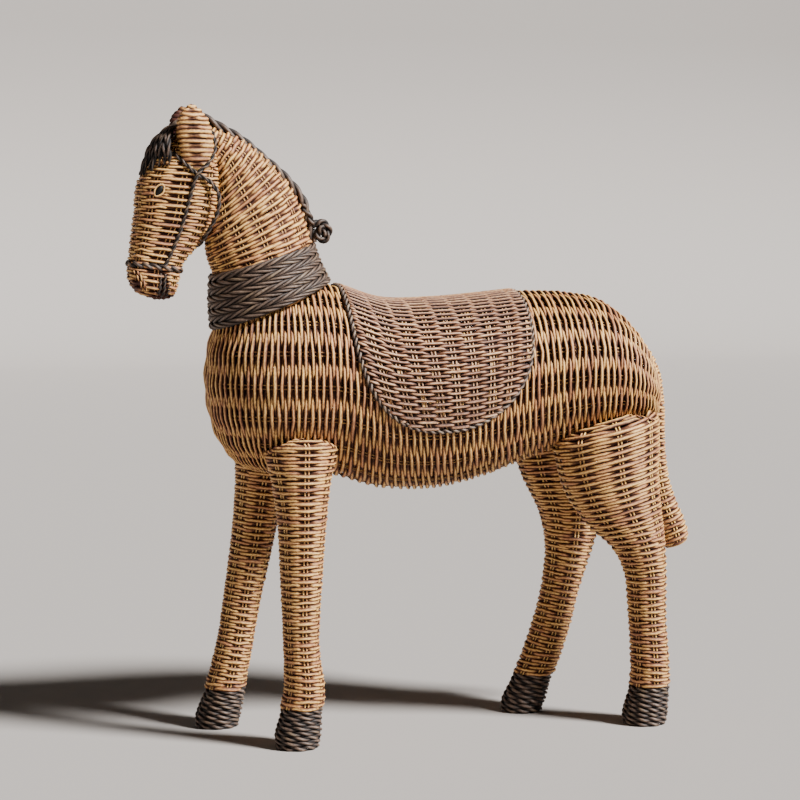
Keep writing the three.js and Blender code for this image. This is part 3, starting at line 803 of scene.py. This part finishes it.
for column in range(-6, 5):
    share = np.linspace(-1, 1, 90)
    x = FAN_PLACE + column * SADDLE_COLUMN * (1 - SADDLE_FAN * np.abs(share) ** 2)
    inside = np.abs(x - SADDLE_CENTRE) < saddle_reach(share) - 1.5
    share = share[inside]
    x = x[inside]
    if len(share) < 8:
        continue
    for twin in (-1, 1):
        u = trunk_at(x + twin * STAKE_GAP / 2)
        angle = np.radians(SADDLE_DROP) * share
        base = trunk_form.skin(u, angle)
        along, _ = trunk_form.along(u, angle)
        normal = trunk_form.outward(u, angle)
        stake = SADDLE_WEAVE["stake"]
        tube = section(base, along, normal, stake, SADDLE_THICKNESS + STAKE_LIFT, stake, STAKE_SIDES)
        saddle.add_tube(tube, SADDLE_WEAVE["bright"], chance.uniform(0.4, 1), False, share * 100)

# The mat's dark ground, closed all round and sunk into the trunk: glaze and painted shade in its gaps
rings = []
for s in np.sin(np.linspace(-math.pi / 2, math.pi / 2, 61)):
    reach = float(saddle_reach(s))
    x = np.linspace(SADDLE_CENTRE - reach, SADDLE_CENTRE + reach, 24)
    x = np.concatenate([x, x[::-1]])
    angle = np.full(48, math.radians(SADDLE_DROP) * s)
    lift = np.where(np.arange(48) < 24, SADDLE_THICKNESS + GROUND_LIFT + 0.5, GROUND_LIFT - 1)
    u = trunk_at(x)
    rings.append(trunk_form.skin(u, angle) + trunk_form.outward(u, angle) * lift[:, None])
saddle.add_tube(np.array(rings), 0.0, 0.5, False)

# Rosier and duller than the straw, with the same umber glaze and painted shade in its hollows and painted
# highlight on its crowns
saddle_resin = glazed_resin_with_painted_light(
    "rosy_resin_glaze_and_painted_light",
    ["#8c6a56", "#b48b70", "#d6ae88", "#f2cea2"],
    [(0.05, "#320f03"), (0.32, "#412415"), (0.6, "#70523f"), (0.82, "#ccb29c"), (1.0, "#ffffff")],
    roughness=(0.8, 0.48),
    fibre_mm=0.55,
)
saddle.finish("saddle_cloth", saddle_resin)


# The rope collar, the rope hooves and the cord round the saddle cloth, cast with the rest and
# painted grey-brown. The collar is turns of four-strand rope that twist alternate ways, the hooves
# are turns of two-strand rope, and all of them lie close together.
COLLAR_RINGS = [
    [-94.5, 0, 271.5, 40.8, 38, 21.8],
    [-98, 0, 286, 37.6, 34, 19.5],
    [-99.8, 0, 300.5, 34.4, 30.5, 16.8],
]
COLLAR_TURNS = 8
COLLAR_LAY = 32.0
COLLAR_PROUD = 0.5
HOOF_RINGS = {
    "near_fore": [
        [-83, -35, 25, 12.8, 12.6, 0],
        [-85.5, -35, 8, 14.6, 14, 0],
        [-86, -35, 0, 13.6, 13.4, 0],
    ],
    "far_fore": [
        [-117.5, 35, 25, 13, 12.6, 0],
        [-122.5, 35, 8, 14.8, 14, 0],
        [-123.5, 35, 0, 14, 13.4, 0],
    ],
    "near_hind": [
        [148.5, -28, 25, 13, 12.8, 0],
        [145.5, -28, 8, 15, 14.4, 0],
        [145, -28, 0, 14.2, 13.8, 0],
    ],
    "far_hind": [
        [88.5, 28, 26, 13, 12.8, 0],
        [81.5, 28, 8, 14.8, 14.2, 0],
        [79.5, 28, 0, 14, 13.6, 0],
    ],
}
HOOF_TURNS = 8
HOOF_LAY = 17.0
HOOF_PROUD = 0.2
TURN_STEPS = 90
BORDER_CORD = 3.4
BORDER_LAY = 10.0


def wound(casting, form, turns, lay, proud, alternate, swell=1.14, strands=2, dark=0.0):
    """Turns of rope side by side over a form, each as thick as the room between its neighbours and
    as proud of the form as proud says."""
    angle = np.linspace(0, 2 * math.pi, TURN_STEPS, endpoint=False)
    for turn in range(turns):
        u = np.full(TURN_STEPS, (turn + 0.5) / turns)
        _, run = form.along(u, angle)
        radius = run / turns / 2 * swell * chance.uniform(0.95, 1.05)
        normal = form.outward(u, angle)
        path = form.skin(u, angle) + normal * (proud - radius)[:, None]
        shift = int(chance.uniform(0, TURN_STEPS))
        twist(casting, np.roll(path, shift, axis=0), np.roll(normal, shift, axis=0), np.roll(radius, shift),
              lay * chance.uniform(0.8, 1.2), True, strands=strands, sides=7,
              hand=-1 if alternate and turn % 2 else 1, dark=dark)


def rope_core(form, sides, lift):
    """The solid middle of a wound form, below its turns of rope."""
    u = np.linspace(0, 1, 7)[:, None]
    angle = np.linspace(0, 2 * math.pi, sides, endpoint=False)[None, :]
    return form.skin(u, angle) + form.outward(u + 0 * angle, angle + 0 * u) * lift


# Grey-brown base coat under a near-black glaze, wiped to taupe on the crowns of the twist; the light
# crowns and dark crevices are painted highlight and shade as well
rope_resin = glazed_resin_with_painted_light(
    "taupe_resin_glaze_and_painted_light",
    ["#85766c", "#998a80", "#b3a296", "#a89a84"],
    [(0.05, "#0d0604"), (0.3, "#33241c"), (0.55, "#6b5a4e"), (0.8, "#b5a598"), (1.0, "#f2ece6")],
    roughness=(0.82, 0.42),
    fibre_mm=0.5,
)

collar_form = Form(limb_ring(COLLAR_RINGS))
collar = Casting()
wound(collar, collar_form, COLLAR_TURNS, COLLAR_LAY, COLLAR_PROUD, True, strands=4, dark=0.14)
collar.add_tube(rope_core(collar_form, 32, -2.6), 0.0, 0.5, False)
collar.finish("rope_collar", rope_resin)

hoof_ropes = Casting()
for name, rings in HOOF_RINGS.items():
    hoof_form = Form(limb_ring(rings))
    wound(hoof_ropes, hoof_form, HOOF_TURNS, HOOF_LAY, HOOF_PROUD, False, dark=0.16)
    core = rope_core(hoof_form, 24, -1.6)
    core[-1, :, 2] = 0.0
    hoof_ropes.add_tube(core, 0.15, 0.5, False)
for points in hoof_ropes.points:
    points[:, 2] = np.maximum(points[:, 2], 0.0)
hoof_ropes.finish("rope_hooves", rope_resin)

border = Casting()
around = np.linspace(0, 2 * math.pi, 400, endpoint=False)
share = np.sin(around)
x = SADDLE_CENTRE + np.sign(np.cos(around)) * saddle_reach(share)
u = trunk_at(x)
angle = np.radians(SADDLE_DROP) * share
normal = trunk_form.outward(u, angle)
path = trunk_form.skin(u, angle) + normal * (SADDLE_THICKNESS * 0.6)
kept = np.linalg.norm(np.roll(path, -1, axis=0) - path, axis=1) > 0.05
twist(border, path[kept], normal[kept], BORDER_CORD / 2, BORDER_LAY, True)
border.finish("saddle_border_cord", rope_resin)


# Bridle, mane and forelock: thin cords tied round the head, a thick rope laid along the crest that
# ends in a coil, and locks of rope that fall from the poll over the forehead.
BRIDLE_CORD = 2.8
NOSE_CORD = 4.2
MANE_CORD = 6.4
COIL_CORD = 4.6
FORELOCK_CORD = 3.0
BRIDLE_LAY = 11.0
NOSE_LAY = 12.0
MANE_LAY = 30.0
COIL_LAY = 13.0
FORELOCK_LAY = 17.0
NOSE_HEIGHT = 295.5
HEAD_MIDDLE = (-148.0, 0, 352.0)
MUZZLE_MIDDLE = (-166.0, 0, 288.0)
LIP_PLACES = (-165.2, -162.4, -159.6)
LIP_CORD = 2.2
LIP_LAY = 7.0
COIL_MIDDLE = (-61.6, 316.2)
COIL_REACH = (7.6, 1.4)
COIL_TURNS = 1.45
SIDE_LOCKS = 7
head_samples = np.linspace(0, 1, FORM_SAMPLES)
head_back = head_form.skin(head_samples, np.zeros(FORM_SAMPLES))
head_front = head_form.skin(head_samples, np.full(FORM_SAMPLES, math.pi))
head_spine = (head_back + head_front) / 2


def round_head(z, angle, lift):
    """A point on the head at a height and an angle; angle 180 degrees is the forehead."""
    u = np.interp(-z, -head_spine[:, 2], head_samples)
    return head_form.skin(u, angle) + head_form.outward(np.array([u]), np.array([angle]))[0] * lift


def on_head(x, z, lift):
    """A point on the near side of the head at x and z."""
    u = np.interp(-z, -head_spine[:, 2], head_samples)
    aft = head_form.skin(u, 0.0)[0]
    fore = head_form.skin(u, math.pi)[0]
    along = np.clip((x - (aft + fore) / 2) / ((aft - fore) / 2), -1, 1)
    return round_head(z, -math.acos(math.copysign(abs(along) ** (HEAD_ROUNDNESS / 2), along)), lift)


def smooth_path(points, count=40):
    """A cord's path, drawn smoothly through a few places."""
    return along_table([list(point) for point in points], np.linspace(0, 1, count))


cords = Casting()
# Two straps a side cross on the cheek: brow to throat, and over it the one from the poll to the nose
straps = [
    [[-164, -4, 368], [-159, -12.5, 366.5], [-151.5, -17, 359.5], [-143, -18, 351.8],
     [-135.5, -18.4, 347.5], [-129.8, -18.8, 339], [-131, -17.8, 327], [-138, -11, 312.5],
     [-139.5, 0, 308.5]],
    [[-134, -6, 382], [-131.5, -14, 374], [-132, -17, 365], [-136.5, -18.4, 357.5]]
    + [on_head(x, z, lift) for x, z, lift in
       ((-143.2, 351.3, 2.6), (-147.6, 337, 1.0), (-153, 318, 0.8), (-160, 301, 0.8), (-163, 296, 0.8))],
]
for side in (1, -1):
    for strap in straps:
        path = smooth_path(strap) * np.array([1, side, 1])
        up = np.tile([0.0, -side, 0.12], (len(path), 1))
        twist(cords, path, up, BRIDLE_CORD / 2, BRIDLE_LAY, False, step=0.9, dark=0.2)
angle = np.linspace(0, 2 * math.pi, 120, endpoint=False)
u = np.full(120, np.interp(-NOSE_HEIGHT, -head_spine[:, 2], head_samples))
normal = head_form.outward(u, angle)
path = head_form.skin(u, angle) + normal * -0.2
twist(cords, path, normal, NOSE_CORD / 2, NOSE_LAY, True, sides=7, dark=0.18)

# The lips are three dark cords that pass under the muzzle
for x in LIP_PLACES:
    near = [on_head(x + dx, z, -0.5) for dx, z in ((0.8, 292), (0.2, 287), (0, 282.5), (-0.8, 279))]
    far = [point * np.array([1, -1, 1]) for point in near[::-1]]
    path = smooth_path(near + [np.array([x - 1.6, 0, 276.2])] + far, 60)
    out = path - np.array(MUZZLE_MIDDLE)
    twist(cords, path, out * np.array([0.2, 1, 1]), LIP_CORD / 2, LIP_LAY, False, step=0.8, dark=0.3)

# The mane rope runs from the poll down the crest, and its end is coiled up at the withers
MANE_ROUTE = [
    [-147, 0, 384], [-137.4, 0, 386.4], [-126, 0, 380.8], [-112, 0, 372.8], [-99, 0, 362.2],
    [-85.6, 0, 350.6], [-74.4, 0, 336.6], [-70.2, 0, 322], [-67, 0, 310],
]
path = smooth_path(MANE_ROUTE, 160)
up = np.tile([0.0, -1.0, 0.0], (len(path), 1))
twist(cords, path, up, MANE_CORD / 2, MANE_LAY, False, strands=3, sides=8, dark=0.2)
for side in (-1, 1):
    turn = np.linspace(-2.2, 2 * math.pi * COIL_TURNS, 60)
    reach = np.linspace(*COIL_REACH, 60)
    stretch = 1 + 0.5 * np.clip(-turn / 2.2, 0, 1)
    path = np.stack([
        COIL_MIDDLE[0] + reach * np.sin(turn) * 0.78 * stretch,
        np.full(60, side * COIL_CORD * 0.46),
        COIL_MIDDLE[1] + reach * np.cos(turn) * stretch,
    ], -1)
    lead = np.array([[-74.4, side * 1.6, 333.5], [-70.6, side * 2.0, 327.5]])
    path = np.vstack([lead, path[6:]])
    up = np.tile([0.0, float(side), 0.0], (len(path), 1))
    twist(cords, path, up, COIL_CORD / 2, COIL_LAY, False, sides=7, hand=side, dark=0.16)

# The forelock's locks bulge over the brow and end in points, the middle ones lowest
for lock in range(-SIDE_LOCKS, SIDE_LOCKS + 1):
    spread = lock / SIDE_LOCKS
    ends = 346.5 + 9 * abs(spread) + chance.uniform(0, 3)
    path = [
        [-143.5, 2.6 * spread, 385.5 - abs(spread)],
        [-152.5, 5 * spread, 383 - 2 * abs(spread)],
        round_head(374, math.pi - math.radians(38) * spread, 6.6),
        round_head(366, math.pi - math.radians(54) * spread, 6.6),
        round_head((366 + ends) / 2, math.pi - math.radians(62) * spread, 3.8),
        round_head(ends, math.pi - math.radians(68) * spread, 1.2),
    ]
    path = smooth_path(path, 50)
    out = path - np.array(HEAD_MIDDLE)
    size = FORELOCK_CORD / 2 * np.interp(np.linspace(0, 1, 50), [0, 0.2, 0.8, 1], [0.9, 1.15, 1, 0.5])
    twist(cords, path, out, size, FORELOCK_LAY, False, hand=1 if lock % 2 else -1, dark=0.26)
cords.finish("bridle_mane_and_forelock", rope_resin)


# The eyes: almond beads of the casting, each in a rim of one thin strand, painted near-black and
# varnished, which gives a soft dark shine. Two thin cords edge each nostril.
EYE_WIDTH = 4.6
EYE_LENGTH = 8.0
EYE_SLANT = 33.0
EYE_RIM = 1.1
EYE_SMEAR_MM = 3.3333
RIM_STEPS = 28
NOSTRIL_CORD = 1.9
NOSTRIL_LAY = 9.0
NOSTRIL_ROUTE = [(-178.4, 291.5), (-176.4, 288), (-174.4, 284), (-173.4, 280.5)]
eye_paint = bpy.data.materials.new("varnished_eye_paint")
eye_paint.use_nodes = True
shader = eye_paint.node_tree.nodes["Principled BSDF"]
place = add(eye_paint.node_tree, "ShaderNodeTexCoord")
smear = add(eye_paint.node_tree, "ShaderNodeTexNoise", inputs={"Scale": 1 / (EYE_SMEAR_MM * MM)},
            links={"Vector": place.outputs["Object"]})
depth = add(eye_paint.node_tree, "ShaderNodeValToRGB", links={"Fac": smear.outputs["Fac"]})
set_stops(depth, [(0.0, "#040201"), (1.0, "#0a0504")])
eye_paint.node_tree.links.new(depth.outputs["Color"], shader.inputs["Base Color"])
shader.inputs["Roughness"].default_value = 0.5
shader.inputs["Specular IOR Level"].default_value = 0.25
slant = math.radians(EYE_SLANT)
rims = Casting()
for side, label in ((1, "near"), (-1, "far")):
    centre = on_head(*EYE_PLACE, -1.1) * np.array([1, side, 1])
    bpy.ops.mesh.primitive_uv_sphere_add(segments=24, ring_count=12, radius=1.0, location=(0, 0, 0))
    bead = bpy.context.object
    bead.name = "eye_" + label
    for vertex in bead.data.vertices:
        x, y, z = vertex.co
        wide = x * EYE_WIDTH / 2 * (1 - 0.25 * z * z)
        high = z * EYE_LENGTH / 2
        vertex.co = Vector((
            centre[0] + wide * math.cos(slant) + high * math.sin(slant),
            centre[1] + y * 1.7,
            centre[2] - wide * math.sin(slant) + high * math.cos(slant),
        )) * MM
    bead.data.materials.append(eye_paint)
    bead.data.shade_smooth()
    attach(bead, "root")
    bead.select_set(False)
    path = []
    for turn in np.linspace(0, 2 * math.pi, RIM_STEPS, endpoint=False):
        wide = (EYE_WIDTH / 2 + 0.2) * math.cos(turn) * (1 - 0.25 * math.sin(turn) ** 2)
        high = (EYE_LENGTH / 2 + 0.3) * math.sin(turn)
        x = EYE_PLACE[0] + wide * math.cos(slant) + high * math.sin(slant)
        z = EYE_PLACE[1] - wide * math.sin(slant) + high * math.cos(slant)
        path.append(on_head(x, z, -0.3) * np.array([1, side, 1]))
    path = np.array(path)
    phi = np.linspace(0, 2 * math.pi, 8, endpoint=False)
    forward = np.roll(path, -1, axis=0) - np.roll(path, 1, axis=0)
    forward /= np.linalg.norm(forward, axis=1, keepdims=True)
    up = np.tile([0.0, -side, 0.0], (len(path), 1))
    sideways = np.cross(forward, up)
    rims.add_tube(section(path, sideways, up, EYE_RIM / 2, 0, EYE_RIM / 2, phi), 0.92, 0.6, True)
for side in (1, -1):
    for shift in (0.0, -1.9):
        path = [on_head(x + shift, z, 0.5) for x, z in NOSTRIL_ROUTE]
        path = smooth_path(path, 20) * np.array([1, side, 1])
        up = np.tile([0.0, -float(side), 0.0], (len(path), 1))
        twist(rims, path, up, NOSTRIL_CORD / 2, NOSTRIL_LAY, False, step=0.8)
rims.finish("eye_and_nostril_rims", straw_resin)


# The studio: a plain pale floor that sweeps up into four low walls, one soft light from above on
# the right front, and the camera where the photograph's was, level with the horse's cheek.
FLOOR_RADIUS = 3.4
SWEEP_RADIUS = 0.8
WALL_HEIGHT = 1.5
FLOOR_SIDES = 96
profile = [(0.0, 0.0), (FLOOR_RADIUS * 0.5, 0.0), (FLOOR_RADIUS, 0.0)]
for bend in np.linspace(0, math.pi / 2, 12)[1:]:
    profile.append((FLOOR_RADIUS + SWEEP_RADIUS * math.sin(bend), SWEEP_RADIUS * (1 - math.cos(bend))))
profile.append((FLOOR_RADIUS + SWEEP_RADIUS, WALL_HEIGHT))
corners = []
for reach, height in profile:
    for turn in np.linspace(0, 2 * math.pi, FLOOR_SIDES, endpoint=False):
        bulge = (abs(math.cos(turn)) ** 6 + abs(math.sin(turn)) ** 6) ** (-1 / 6)
        corners.append((reach * bulge * math.cos(turn), reach * bulge * math.sin(turn), height))
faces = []
for row in range(len(profile) - 1):
    for side in range(FLOOR_SIDES):
        ahead = (side + 1) % FLOOR_SIDES
        faces.append((
            row * FLOOR_SIDES + side, (row + 1) * FLOOR_SIDES + side,
            (row + 1) * FLOOR_SIDES + ahead, row * FLOOR_SIDES + ahead,
        ))
sweep = bpy.data.meshes.new("studio_floor")
sweep.from_pydata(corners, [], faces)
sweep.shade_smooth()
floor = bpy.data.objects.new("studio_floor", sweep)
bpy.context.scene.collection.objects.link(floor)
# Matt wall paint, pale and with almost no sheen
floor_paint = bpy.data.materials.new("pale_floor_paint")
floor_paint.use_nodes = True
floor_shader = floor_paint.node_tree.nodes["Principled BSDF"]
floor_shader.inputs["Base Color"].default_value = linear("#a49e99")
floor_shader.inputs["Roughness"].default_value = 0.9
floor_shader.inputs["Specular IOR Level"].default_value = 0.1
sweep.materials.append(floor_paint)

world = bpy.data.worlds.new("studio")
bpy.context.scene.world = world
world.use_nodes = True
world.node_tree.nodes["Background"].inputs["Color"].default_value = linear("#dcd6d2")
world.node_tree.nodes["Background"].inputs["Strength"].default_value = 0.04

LIGHT_FROM = (0.6, -0.48, 0.64)
LIGHT_STRENGTH = 11.4
LIGHT_SPREAD = 12
bpy.ops.object.light_add(type="SUN", location=LIGHT_FROM)
key_light = bpy.context.object
key_light.name = "key_light"
key_light.data.energy = LIGHT_STRENGTH
key_light.data.angle = math.radians(LIGHT_SPREAD)
key_light.rotation_euler = Vector(LIGHT_FROM).to_track_quat("Z", "Y").to_euler()

CAMERA_PLACE = (-0.3704, -1.3411, 0.324)
FOCUS_PIXELS = 2200.0
PICTURE_PIXELS = 800.0
HORIZON_PIXEL = 220.0
SENSOR_WIDTH = 36.0
CAMERA_TURN = 15
bpy.ops.object.camera_add(location=CAMERA_PLACE)
camera = bpy.context.object
camera.data.sensor_width = SENSOR_WIDTH
camera.data.lens = FOCUS_PIXELS / PICTURE_PIXELS * SENSOR_WIDTH
tilt = math.atan((PICTURE_PIXELS / 2 - HORIZON_PIXEL) / FOCUS_PIXELS)
camera.rotation_euler = (math.pi / 2 - tilt, 0.0, -math.radians(CAMERA_TURN))
bpy.context.scene.camera = camera
